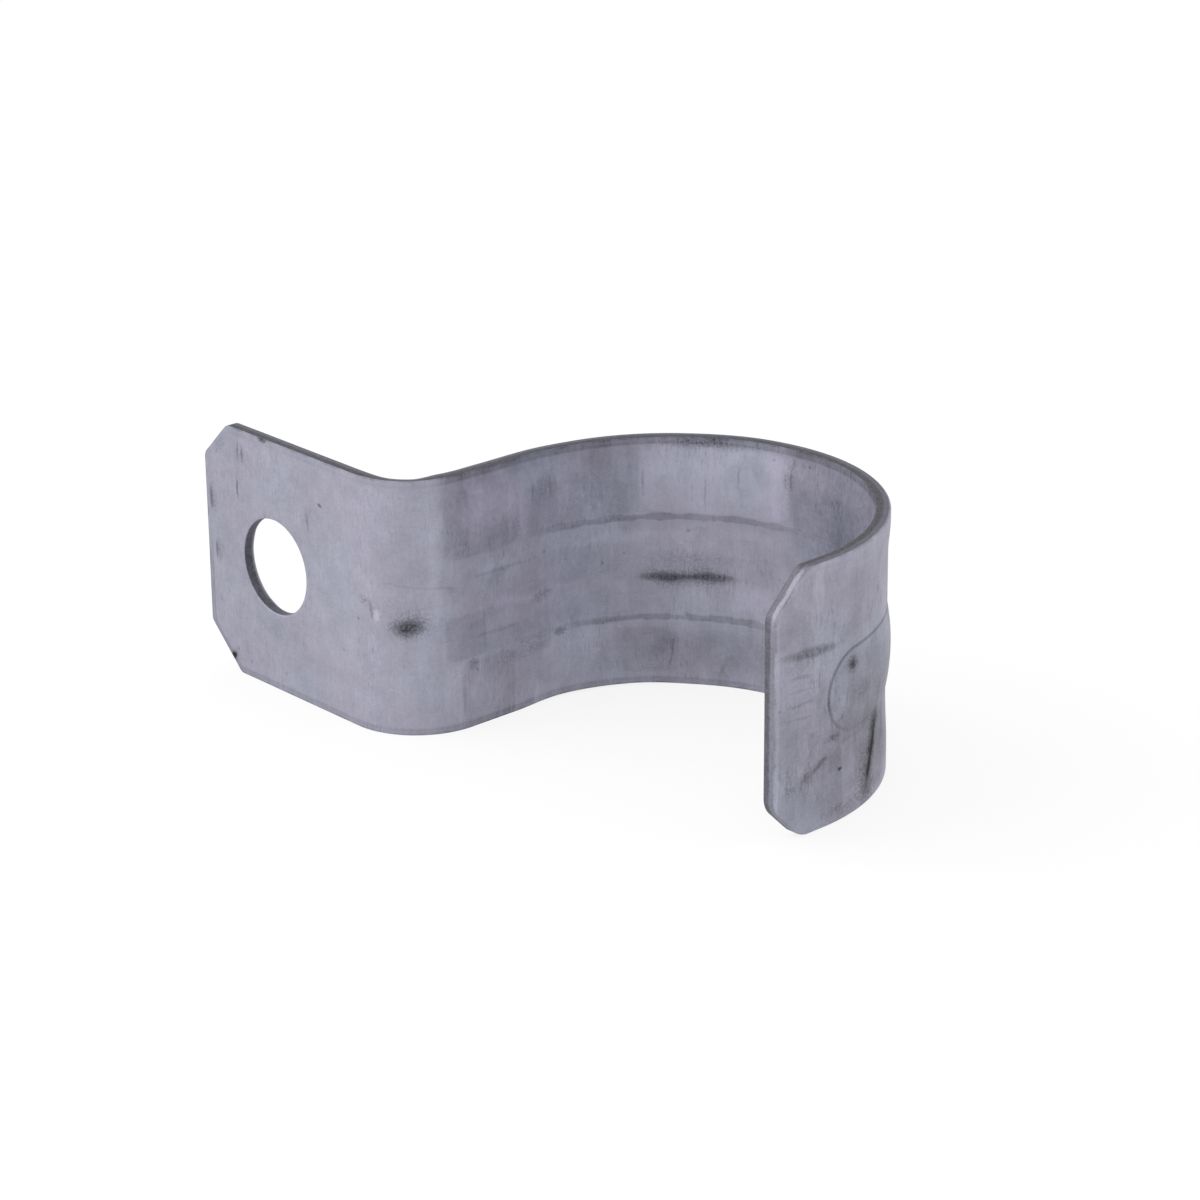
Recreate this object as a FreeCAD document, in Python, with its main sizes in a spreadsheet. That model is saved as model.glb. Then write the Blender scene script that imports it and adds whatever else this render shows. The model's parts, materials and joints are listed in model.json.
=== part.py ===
import FreeCAD, Part
import math
import os
import Sketcher

# One-hole conduit strap: one strip of zinc-coated steel, blanked, punched, beaded and
# folded. It stands on one long edge. The conduit runs along +Z, the foot lies along X
# with its free end at -X, and the wall is on the -Y side. The origin is on the conduit's
# axis, level with the edge that the strap stands on.

sizes = {
    "strip_width": 25.4,  # along the conduit
    "sheet_thickness": 1.35,
    "seat_radius": 18.7,  # inside of the curl that holds the conduit
    "axis_height": 15.55,  # conduit's axis, from the wall face of the foot
    "bend_radius": 6.3,  # inside of the fold between foot and neck
    "foot_flat": 22.6,  # flat run of the foot, from its free end to the fold
    "tail_drop": 6.2,  # straight lip past the conduit's axis
    "foot_corner": 4.5,
    "foot_corner_round": 0.9,
    "tail_corner": 3.8,
    "tail_corner_round": 2.2,
    "hole_diameter": 9.525,
    "hole_setback": 10.5,  # hole's centre, from the foot's free end
    "hole_breakout": 0.3,  # torn rim where the punch came out
    "hole_roll": 0.2,  # drawn-in rim where the punch went in
    "edge_roll": 0.3,  # drawn-in edge that the blanking die leaves outside
    "bead_level": 12.2,  # middle of the bead, from the edge that the strap stands on
    "bead_height": 0.4,
    "ridge_width": 7.8,  # outside of the bead
    "groove_width": 10.4,  # conduit's side of the bead
    "bead_start": 13.0,  # degrees of the fold, from the foot, that stay plain
    "bead_end": 12.5,  # degrees of the curl that are left where the bead begins to run out
}

# the sheet's formulas for the radii of the strip's faces
seatInside = "Sizes.seat_radius"
seatOutside = "Sizes.seat_radius + Sizes.sheet_thickness"
foldInside = "Sizes.bend_radius"
foldOutside = "Sizes.bend_radius + Sizes.sheet_thickness"

doc = FreeCAD.newDocument("ConduitStrap")
vector = FreeCAD.Vector
up = vector(0, 0, 1)
near = 1e-6

sheet = doc.addObject("Spreadsheet::Sheet", "Sizes")
for row, (alias, value) in enumerate(sizes.items(), start=1):
    sheet.set(f"A{row}", alias.replace("_", " "))
    sheet.set(f"B{row}", str(value))
    sheet.setAlias(f"B{row}", alias)
doc.recompute()

body = doc.addObject("PartDesign::Body", "conduit_strap")
body.Label = "conduit_strap"

# places where the sketches are drawn; their dimensions then follow the sheet
thick = sizes["sheet_thickness"]
seat = sizes["seat_radius"]
outer = seat + thick
height = sizes["axis_height"]
foldRadius = sizes["bend_radius"] + thick
foldCentre = vector(-seat - foldRadius, foldRadius - height, 0)
footEnd = foldCentre.x - sizes["foot_flat"]
beadHeight = sizes["bead_height"]


def newSketch(name, role):
    sketch = body.newObject("Sketcher::SketchObject", name)
    plane = next(f for f in body.Origin.OriginFeatures if f.Role == role)
    sketch.AttachmentSupport = (plane, [""])
    sketch.MapMode = "FlatFace"
    return sketch


def line(start, end):
    return Part.LineSegment(vector(*start), vector(*end))


def arc(centre, radius, start, end):
    # anticlockwise, between two angles in radians
    return Part.ArcOfCircle(Part.Circle(vector(*centre), up, radius), start, end)


def polar(radius, angle):
    return vector(radius * math.cos(angle), radius * math.sin(angle), 0)


def constrain(sketch, rules):
    for rule in rules:
        sketch.addConstraint(Sketcher.Constraint(*rule))


def dimension(sketch, name, rule, formula):
    # a named dimension that the sheet drives
    index = sketch.addConstraint(Sketcher.Constraint(*rule))
    sketch.renameConstraint(index, name)
    sketch.setExpression(f"Constraints.{name}", formula)


def addStripProfile():
    # The strip seen along the conduit: wall and seat side first, then back round outside.
    tail = -sizes["tail_drop"]
    sketch = newSketch("StripProfile", "XY_Plane")
    sketch.addGeometry([
        line((footEnd, -height), (foldCentre.x, -height)),
        arc(foldCentre, foldRadius, -math.pi / 2, 0),
        line((-seat, foldCentre.y), (-seat, 0)),
        arc((0, 0), seat, 0, math.pi),
        line((seat, 0), (seat, tail)),
        line((seat, tail), (outer, tail)),
        line((outer, tail), (outer, 0)),
        arc((0, 0), outer, 0, math.pi),
        line((-outer, 0), (-outer, foldCentre.y)),
        arc(foldCentre, sizes["bend_radius"], -math.pi / 2, 0),
        line((foldCentre.x, thick - height), (footEnd, thick - height)),
        line((footEnd, thick - height), (footEnd, -height)),
    ])
    constrain(sketch, [
        ("Tangent", 0, 2, 1, 1),
        ("Tangent", 1, 2, 2, 1),
        ("Tangent", 2, 2, 3, 2),
        ("Tangent", 3, 1, 4, 1),
        ("Coincident", 4, 2, 5, 1),
        ("Coincident", 5, 2, 6, 1),
        ("Tangent", 6, 2, 7, 1),
        ("Tangent", 7, 2, 8, 1),
        ("Tangent", 8, 2, 9, 2),
        ("Tangent", 9, 1, 10, 1),
        ("Coincident", 10, 2, 11, 1),
        ("Coincident", 11, 2, 0, 1),
        ("Coincident", 3, 3, -1, 1),
        ("Coincident", 7, 3, -1, 1),
        ("Coincident", 9, 3, 1, 3),
        ("Horizontal", 0),
        ("Vertical", 2),
        ("Vertical", 4),
        ("Horizontal", 5),
        ("Vertical", 6),
        ("Horizontal", 10),
        ("Vertical", 11),
    ])
    dimension(sketch, "seat", ("Radius", 3, seat), seatInside)
    dimension(sketch, "outside", ("Radius", 7, outer), seatOutside)
    dimension(sketch, "fold", ("Radius", 9, sizes["bend_radius"]), foldInside)
    dimension(sketch, "foldOutside", ("Radius", 1, foldRadius), foldOutside)
    dimension(sketch, "axis", ("DistanceY", 0, 1, -1, 1, height), "Sizes.axis_height")
    dimension(sketch, "foot", ("DistanceX", 0, 1, 0, 2, sizes["foot_flat"]), "Sizes.foot_flat")
    dimension(sketch, "tail", ("DistanceY", 4, 2, 4, 1, sizes["tail_drop"]), "Sizes.tail_drop")
    return sketch


def addHoleSketch():
    radius = sizes["hole_diameter"] / 2
    along = -footEnd - sizes["hole_setback"]
    middle = sizes["strip_width"] / 2
    sketch = newSketch("HoleSketch", "XZ_Plane")
    sketch.addGeometry(Part.Circle(vector(-along, middle, 0), up, radius))
    dimension(sketch, "size", ("Diameter", 0, 2 * radius), "Sizes.hole_diameter")
    dimension(sketch, "middle", ("DistanceY", -1, 1, 0, 3, middle), "Sizes.strip_width / 2")
    dimension(sketch, "along", ("DistanceX", 0, 3, -1, 1, along),
              f"{seatInside} + {foldOutside} + Sizes.foot_flat - Sizes.hole_setback")
    return sketch


def runOutRadius(start, inward, crossing):
    # radius of the arc that leaves start square to inward and goes through crossing
    way = crossing - start
    return way.dot(way) / (2 * way.dot(inward))


def addBeadPath(name, lineFormula, seatFormula, foldFormula, widthFormula):
    # The line of the bead's crown or of its bottom, from the fold round to the tail. At
    # each end an arc takes it through the face of the strip, where the bead runs out.
    # The formulas give the radii of the line and of the faces, and the bead's width.
    lineRadius = sheet.evalExpression(lineFormula)
    seatFace = sheet.evalExpression(seatFormula)
    foldFace = sheet.evalExpression(foldFormula)
    plain = math.radians(sizes["bead_start"] - 90)
    begin = math.radians(sizes["bead_end"])
    finish = begin - sheet.evalExpression(widthFormula) / 2 / seatFace
    footCrossing = foldCentre + polar(foldFace, plain)
    neckEnd = vector(-lineRadius, foldCentre.y, 0)
    footRun = runOutRadius(neckEnd, vector(-1, 0, 0), footCrossing)
    tailStart = polar(lineRadius, begin)
    tailCrossing = polar(seatFace, finish)
    tailRun = runOutRadius(tailStart, polar(-1, begin), tailCrossing)
    tailCentre = tailStart + polar(-tailRun, begin)
    toCrossing = tailCrossing - tailCentre
    stop = math.atan2(toCrossing.y, toCrossing.x) - beadHeight / tailRun
    sketch = newSketch(name, "XY_Plane")
    sketch.setExpression("AttachmentOffset.Base.z", "Sizes.bead_level")
    sketch.addGeometry([
        arc((-lineRadius - footRun, foldCentre.y), footRun, -math.pi / 2, 0),
        line((-lineRadius, foldCentre.y), (-lineRadius, 0)),
        arc((0, 0), lineRadius, begin, math.pi),
        arc(tailCentre, tailRun, stop, begin),
    ])
    guides = [
        line(foldCentre, footCrossing),
        line((0, 0), tailCrossing),
        line((0, 0), tailStart),
    ]
    sketch.addGeometry(guides, True)
    constrain(sketch, [
        ("Tangent", 0, 2, 1, 1),
        ("Tangent", 1, 2, 2, 2),
        ("Tangent", 2, 1, 3, 2),
        ("Coincident", 2, 3, -1, 1),
        ("Vertical", 1),
        ("Vertical", 0, 1, 0, 3),
        ("Horizontal", 4, 1, 1, 1),
        ("PointOnObject", 4, 2, 0),
        ("Coincident", 5, 1, -1, 1),
        ("PointOnObject", 5, 2, 3),
        ("Coincident", 6, 1, -1, 1),
        ("Coincident", 6, 2, 2, 1),
    ])
    dimension(sketch, "curl", ("Radius", 2, lineRadius), lineFormula)
    dimension(sketch, "neck", ("DistanceY", 1, 1, -1, 1, -foldCentre.y),
              f"Sizes.axis_height - ({foldOutside})")
    dimension(sketch, "fold", ("DistanceX", 4, 1, -1, 1, -foldCentre.x),
              f"{seatInside} + {foldOutside}")
    dimension(sketch, "foldFace", ("Distance", 4, foldFace), foldFormula)
    dimension(sketch, "foldPlain", ("Angle", 4, plain), "Sizes.bead_start * 1deg - 90deg")
    dimension(sketch, "seatFace", ("Distance", 5, seatFace), seatFormula)
    dimension(sketch, "seatEnd", ("Angle", 5, finish),
              f"Sizes.bead_end * 1deg - ({widthFormula}) / 2 / ({seatFormula}) * 1rad")
    dimension(sketch, "seatPlain", ("Angle", 6, begin), "Sizes.bead_end * 1deg")
    dimension(sketch, "overrun", ("Distance", 3, 1, 5, 2, beadHeight), "Sizes.bead_height")
    measured = sketch.addConstraint(Sketcher.Constraint("Radius", 0, footRun))
    sketch.renameConstraint(measured, "footRun")
    sketch.setDriving(measured, False)
    doc.recompute()
    return sketch


def addBeadSection(name, path, lineFormula, widthFormula, depthFormula):
    # The section at the foot's end of the path: an arc as wide and as high as the bead,
    # with its top on the path, on a block of a stated depth.
    level = sizes["bead_level"]
    beadWidth = sheet.evalExpression(widthFormula)
    crownFormula = (f"(({widthFormula}) ^ 2 / 4 + Sizes.bead_height ^ 2)"
                    " / (2 * Sizes.bead_height)")
    crown = sheet.evalExpression(crownFormula)
    half = math.asin(beadWidth / 2 / crown)
    top = foldCentre.y - path.getDatum("footRun").Value
    side = top - beadHeight
    floor = side - sheet.evalExpression(depthFormula)
    low = level - beadWidth / 2
    high = level + beadWidth / 2
    sketch = newSketch(name, "YZ_Plane")
    sketch.setExpression("AttachmentOffset.Base.z",
                         f"-({lineFormula}) - {path.Name}.Constraints.footRun / 1mm")
    sketch.addGeometry([
        arc((top - crown, level), crown, -half, half),
        line((side, high), (floor, high)),
        line((floor, high), (floor, low)),
        line((floor, low), (side, low)),
    ])
    constrain(sketch, [
        ("Coincident", 0, 2, 1, 1),
        ("Coincident", 1, 2, 2, 1),
        ("Coincident", 2, 2, 3, 1),
        ("Coincident", 3, 2, 0, 1),
        ("Horizontal", 1),
        ("Vertical", 2),
        ("Horizontal", 3),
        ("Vertical", 0, 1, 0, 2),
    ])
    dimension(sketch, "width", ("DistanceY", 0, 1, 0, 2, beadWidth), widthFormula)
    dimension(sketch, "depth", ("DistanceX", 1, 2, 1, 1, side - floor), depthFormula)
    dimension(sketch, "crown", ("Radius", 0, crown), crownFormula)
    dimension(sketch, "level", ("DistanceY", -1, 1, 0, 3, level), "Sizes.bead_level")
    dimension(sketch, "reach", ("DistanceX", 0, 3, -1, 1, crown - top),
              f"({path.Name}.Constraints.neck + {path.Name}.Constraints.footRun) / 1mm"
              f" + {crownFormula}")
    doc.recompute()
    return sketch


def addBead(kind, name, lineFormula, seatFormula, foldFormula, widthFormula, depthFormula):
    # One side of the bead, swept along its path with the section kept upright.
    path = addBeadPath(f"{name}Path", lineFormula, seatFormula, foldFormula, widthFormula)
    section = addBeadSection(f"{name}Section", path, lineFormula, widthFormula, depthFormula)
    pipe = body.newObject(kind, name)
    pipe.Profile = section
    pipe.Spine = (path, [f"Edge{i + 1}" for i in range(len(path.Shape.Edges))])
    pipe.Mode = "Binormal"
    pipe.Binormal = up
    doc.recompute()


def isCut(edge, direction):
    # a straight edge through the sheet's thickness, along a direction
    if edge.Curve.TypeId != "Part::GeomLine" or abs(edge.Length - thick) > near:
        return False
    return abs(abs(edge.Curve.Direction.dot(direction)) - 1) < near


def isCircle(edge, radius, level, axis):
    # a circle or arc of a radius, at a level along an axis
    if edge.Curve.TypeId != "Part::GeomCircle" or abs(edge.Curve.Radius - radius) > near:
        return False
    return abs(edge.Curve.Center.dot(axis) - level) < near


def dress(kind, name, field, formula, test):
    # a fillet or chamfer on the edges of the body, as it stands, that pass a test
    base = body.Tip
    edges = [f"Edge{i + 1}" for i, edge in enumerate(base.Shape.Edges) if test(edge)]
    feature = body.newObject(kind, name)
    feature.Base = (base, edges)
    feature.setExpression(field, formula)
    doc.recompute()


along = vector(1, 0, 0)
wallward = vector(0, 1, 0)
holeRadius = sizes["hole_diameter"] / 2

strip = body.newObject("PartDesign::Pad", "Strip")
strip.Profile = addStripProfile()
strip.setExpression("Length", "Sizes.strip_width")
doc.recompute()

dress("PartDesign::Chamfer", "FootCorners", "Size", "Sizes.foot_corner",
      lambda edge: isCut(edge, wallward))
dress("PartDesign::Fillet", "FootCornerRounds", "Radius", "Sizes.foot_corner_round",
      lambda edge: isCut(edge, wallward))
dress("PartDesign::Chamfer", "TailCorners", "Size", "Sizes.tail_corner",
      lambda edge: isCut(edge, along))
dress("PartDesign::Fillet", "TailCornerRounds", "Radius", "Sizes.tail_corner_round",
      lambda edge: isCut(edge, along))

holeSketch = addHoleSketch()
uncut = body.Shape.Volume
hole = body.newObject("PartDesign::Pocket", "ScrewHole")
hole.Profile = holeSketch
hole.Type = "ThroughAll"
hole.Reversed = True
doc.recompute()
punched = uncut - body.Shape.Volume
assert abs(punched - math.pi * holeRadius ** 2 * thick) < 0.001 * punched

# the ridge's root stays inside the sheet, and the groove's block clears the conduit's side
addBead("PartDesign::AdditivePipe", "Ridge", f"{seatOutside} + Sizes.bead_height",
        seatOutside, foldInside, "Sizes.ridge_width", "Sizes.sheet_thickness / 4")
addBead("PartDesign::SubtractivePipe", "Groove", f"{seatInside} + Sizes.bead_height",
        seatInside, foldOutside, "Sizes.groove_width", "Sizes.sheet_thickness")

# the roll follows the whole outline from the one edge that the seat stands on
dress("PartDesign::Fillet", "EdgeRoll", "Radius", "Sizes.edge_roll",
      lambda edge: isCircle(edge, outer, 0, up))
dress("PartDesign::Fillet", "HoleRoll", "Radius", "Sizes.hole_roll",
      lambda edge: isCircle(edge, holeRadius, -height, wallward))
dress("PartDesign::Chamfer", "HoleBreakout", "Size", "Sizes.hole_breakout",
      lambda edge: isCircle(edge, holeRadius, thick - height, wallward))

for item in doc.Objects:
    if "Invalid" in item.State or "Error" in item.State:
        raise RuntimeError(f"{item.Name} failed: {item.State}")
    if item.isDerivedFrom("Sketcher::SketchObject") and not item.FullyConstrained:
        raise RuntimeError(f"{item.Name} is not held by its dimensions")
shape = body.Shape
if shape.isNull() or not shape.isValid() or len(shape.Solids) != 1:
    raise RuntimeError("the strap is not one valid solid")

os.makedirs("parts", exist_ok=True)
shape.exportStep(f"parts/{body.Label}.step")
print(f"{body.Label}: {shape.Volume:.1f} mm3, {len(shape.Faces)} faces")
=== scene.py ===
import json
import math

import bmesh
import bpy
import numpy as np
from mathutils import Matrix, Vector, noise


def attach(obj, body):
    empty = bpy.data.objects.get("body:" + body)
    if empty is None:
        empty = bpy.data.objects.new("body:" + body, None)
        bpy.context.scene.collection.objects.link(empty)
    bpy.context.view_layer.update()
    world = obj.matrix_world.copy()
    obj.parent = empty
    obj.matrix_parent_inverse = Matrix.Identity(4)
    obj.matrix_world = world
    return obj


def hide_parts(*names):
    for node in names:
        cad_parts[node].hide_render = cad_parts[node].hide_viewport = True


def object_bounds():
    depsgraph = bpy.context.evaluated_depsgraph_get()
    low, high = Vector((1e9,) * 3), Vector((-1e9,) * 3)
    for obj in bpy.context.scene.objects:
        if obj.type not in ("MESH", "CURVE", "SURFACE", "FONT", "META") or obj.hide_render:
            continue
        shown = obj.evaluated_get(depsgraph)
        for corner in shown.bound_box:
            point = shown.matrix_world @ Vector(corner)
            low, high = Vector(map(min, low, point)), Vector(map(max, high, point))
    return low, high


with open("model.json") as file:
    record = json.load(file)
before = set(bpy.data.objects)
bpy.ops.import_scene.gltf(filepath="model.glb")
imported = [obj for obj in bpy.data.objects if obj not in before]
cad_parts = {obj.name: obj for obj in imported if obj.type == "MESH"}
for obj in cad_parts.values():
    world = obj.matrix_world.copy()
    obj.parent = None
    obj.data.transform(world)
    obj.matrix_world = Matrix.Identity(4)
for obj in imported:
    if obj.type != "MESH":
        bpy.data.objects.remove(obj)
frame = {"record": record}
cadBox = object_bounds()
mm = 0.001  # metres in a millimetre
low, high = (corner / mm for corner in cadBox)
mounts = {mount["name"]: mount for mount in frame["record"]["mounts"]}
seatRadius = mounts["conduit_seat"]["dims"]["r_mm"]
holeRadius = mounts["screw_hole"]["dims"]["r_mm"]
noise.seed_set(1)  # without it, marks would wander another way each run
print("frame loaded")


# The strap is a flat blank, pressed and then bent. A point of the blank is (s, z, w) in millimetres:
# s runs along the strip from the foot's end, z runs across it, and w goes through the sheet, from the
# face that meets wall and conduit.
strap = {
    "thickness": 1.35,
    "width": high.z - low.z,
    "foldRadius": 7.65,  # of the face that meets the wall
    "tailDrop": 6.2,  # straight stretch past the seat
    "footCornerTop": (3.7, 1.0),  # leg of the cut corner, and its rounding
    "footCornerBottom": (4.4, 0.6),
    "tailCornerTop": (3.8, 1.6),
    "tailCornerBottom": (3.4, 2.4),
    "edgeRoll": 0.25,  # the blanking punch drew this edge in
    "edgeBurr": 0.03,  # and left this one sharp
    "shearLevels": (0.22, 0.4, 0.58),  # shares of the thickness where the sheared edge has points
    # the long edges flare where the strip is bent, over these distances from them and from the seat's ends
    "flare": 0.2,
    "flareBottom": (2.0, 8.0),
    "flareTop": (1.0, 4.0),
    "flareStart": (-6, 4),
    "flareStop": (-8, 1),
    # what bending does to the long edges, in and out: (s, how far the edge is moved up)
    "topEdge": ((0, 0.05), (22, 0.05), (28, 0.02), (34, 0.17), (40, 0.12), (48, -0.06), (58, -0.06),
                (66, 0.04), (77, 0.12), (100, 0.0)),
    "bottomEdge": ((0, 0.0), (40, 0.0), (46, 0.24), (53, 0.2), (60, 0.0)),
    "farDip": ((23, 0.0), (27, 0.24), (29, 0.24), (32, 0.0)),  # how much further in the far face goes
    "wave": 0.03,  # unevenness of the sheet
    "waveSize": 9.0,
    "holeRoll": 0.14,  # the punch drew the hole's rim in on the wall side
    "holeTear": 0.32,  # how far the hole breaks out on its far face
    "holeTorn": ((0.01, 0.68), (0.07, 0.78), (0.2, 0.9), (0.29, 0.98)),  # (gap, share of the thickness)
    "tornFrom": 0.6,  # share of the thickness that is cut clean
    "tornUneven": 0.12,
    "holeMargin": 1.9,  # ring of finer mesh round the hole
    "holeRings": (0.25, 0.5, 0.72, 0.9, 1.0),  # shares of the way from that ring's border to the rim
    "columns": 380,  # of the mesh, along the strip
    "rows": 96,  # across it
    "endColumns": 16,  # columns drawn together at each rounded end
    "endShare": 0.022,  # of the length that they take
}
bead = {
    "level": 12.2,  # height of the bead's middle
    "height": 0.4,
    "ridgeWidth": 7.8,  # outside
    "grooveWidth": 10.4,  # inside
    "start": 13.0,  # degrees into the fold
    "end": 12.5,  # degrees before the seat's end
    "ridgeRunOut": 3.65,  # length over which it dies away
    "grooveRunOut": 5.0,
    "soft": 0.03,  # roundness of its borders
}

thickness, width, foldRadius = strap["thickness"], strap["width"], strap["foldRadius"]
footFlat = -seatRadius - foldRadius - low.x
neck = -low.y - foldRadius
runs = [  # (length along the wall side, turn in radians)
    (footFlat, 0.0),
    (foldRadius * math.pi / 2, math.pi / 2),
    (neck, 0.0),
    (seatRadius * math.pi, -math.pi),
    (strap["tailDrop"], 0.0),
]
neckStart, seatStart, tailStart, length = np.cumsum([run[0] for run in runs])[1:]
hole = (mounts["screw_hole"]["pos_m"][0] / mm - low.x, mounts["screw_hole"]["pos_m"][2] / mm)


def smoothStep(start, end, value):
    share = np.clip((value - start) / (end - start), 0, 1)
    return share * share * (3 - 2 * share)


def easeThrough(knots, s):
    # a smooth line through (s, value) knots, level at each of them
    value = np.full_like(s, knots[0][1])
    for (start, before), (end, after) in zip(knots, knots[1:]):
        value += (after - before) * smoothStep(start, end, s)
    return value


def softPositive(value, soft):
    # value where it is positive and nothing elsewhere, with a rounded change between
    return (value + np.sqrt(value ** 2 + soft ** 2)) / 2


def bendStrip(s, z, w):
    # walks the blank's wall side through the runs, then steps off it through the sheet
    x, y, heading = np.full_like(s, low.x), np.full_like(s, low.y), np.zeros_like(s)
    start, facing = 0.0, 0.0
    for runLength, turn in runs:
        along = np.clip(s - start, 0, runLength)
        bent = turn * along / runLength
        if turn:
            x += (np.sin(facing + bent) - math.sin(facing)) * runLength / turn
            y += (math.cos(facing) - np.cos(facing + bent)) * runLength / turn
        else:
            x += along * math.cos(facing)
            y += along * math.sin(facing)
        heading += bent
        start += runLength
        facing += turn
    return np.stack([x - w * np.sin(heading), y + w * np.cos(heading), z], -1)


def beadHeight(s, z, beadWidth, runOut):
    # height of the pressed bead over the plain strip, and negative beside it: full on neck and seat,
    # dying away at both ends
    full = bead["height"]
    cross = (beadWidth ** 2 / 4 + full ** 2) / (2 * full)
    sag = cross - np.sqrt(np.maximum(cross ** 2 - (z - bead["level"]) ** 2, 0))
    startAngle = math.radians(90 - bead["start"])
    beforeNeck = np.clip((neckStart - s) / foldRadius, 0, math.pi / 2)
    inFold = full * (np.cos(beforeNeck) - math.cos(startAngle)) / (1 - math.cos(startAngle))
    pastEnd = np.maximum(s - (tailStart - math.radians(bead["end"]) * seatRadius), 0)
    inTail = full * (1 - (pastEnd / runOut) ** 2)
    return np.clip(np.minimum(inFold, inTail) - sag, -full, full)


def beadHeights(s, z):
    return (beadHeight(s, z, bead["ridgeWidth"], bead["ridgeRunOut"]),
            beadHeight(s, z, bead["grooveWidth"], bead["grooveRunOut"]))


def pressStrip(s, z, w):
    # the sheet's own shape before it is bent: bead, flared and moved edges, and slight unevenness
    outside = np.clip(w / thickness, 0, 1)
    ridge, groove = (softPositive(rise, bead["soft"]) for rise in beadHeights(s, z))
    flareStart = seatStart + np.array(strap["flareStart"])
    flareStop = tailStart + np.array(strap["flareStop"])
    inSeat = smoothStep(*flareStart, s) * (1 - smoothStep(*flareStop, s))
    flatMiddle = np.minimum(smoothStep(*strap["flareBottom"], z), smoothStep(*strap["flareTop"], width - z))
    size, cut = strap["waveSize"], 1.7  # where the noise is cut through
    places = zip(s.ravel(), z.ravel())
    uneven = np.array([noise.noise(Vector((a / size, b / size, cut))) for a, b in places])
    lift = outside * ridge + (1 - outside) * groove - strap["flare"] * inSeat * flatMiddle
    lift += strap["wave"] * uneven.reshape(s.shape)
    dip = outside * easeThrough(strap["farDip"], s)
    bottom = easeThrough(strap["bottomEdge"], s) + dip
    top = width + easeThrough(strap["topEdge"], s) - dip
    return s, bottom + (top - bottom) * z / width, w + lift


def cornerDrop(fromEnd, corner, inset):
    # how far the outline lies inside a long edge, at a distance from the strip's end, by a cut corner
    leg, rounding = corner
    tight = rounding - inset
    reach = leg / math.sqrt(2)  # from the square corner to the cut
    lean = 1 / math.sqrt(2)
    away = (reach + rounding) / lean - rounding  # where the two roundings are centred
    first = fromEnd < rounding - tight * lean
    second = fromEnd < away - tight * lean
    third = fromEnd < away
    byEnd = away - np.sqrt(np.maximum(tight ** 2 - (rounding - fromEnd) ** 2, 0))
    byCut = (reach + inset) / lean - fromEnd
    byEdge = rounding - np.sqrt(np.maximum(tight ** 2 - (away - fromEnd) ** 2, 0))
    return np.select([first, second, third], [byEnd, byCut, byEdge], inset)


def edgeDrop(s, side, inset):
    # how far a long edge, Top or Bottom, lies inside the strip's full width
    return np.maximum(cornerDrop(s, strap["footCorner" + side], inset),
                      cornerDrop(length - s, strap["tailCorner" + side], inset))


def blankPoints(across, along, inset):
    # places shares of the blank (0 to 1 each way) on it, with its whole outline drawn in by inset
    s = inset + (length - 2 * inset) * along
    bottom, top = edgeDrop(s, "Bottom", inset), width - edgeDrop(s, "Top", inset)
    return s, bottom + (top - bottom) * across


def spread(count, fineEnd, fineCount):
    # shares from 0 to 1, with closer steps at both ends, where the corners are rounded
    ends = fineEnd * (np.arange(fineCount) / fineCount) ** 2
    middle = np.linspace(fineEnd, 1 - fineEnd, count - 2 * fineCount + 1)
    return np.concatenate([ends, middle, 1 - ends[::-1]])


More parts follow.
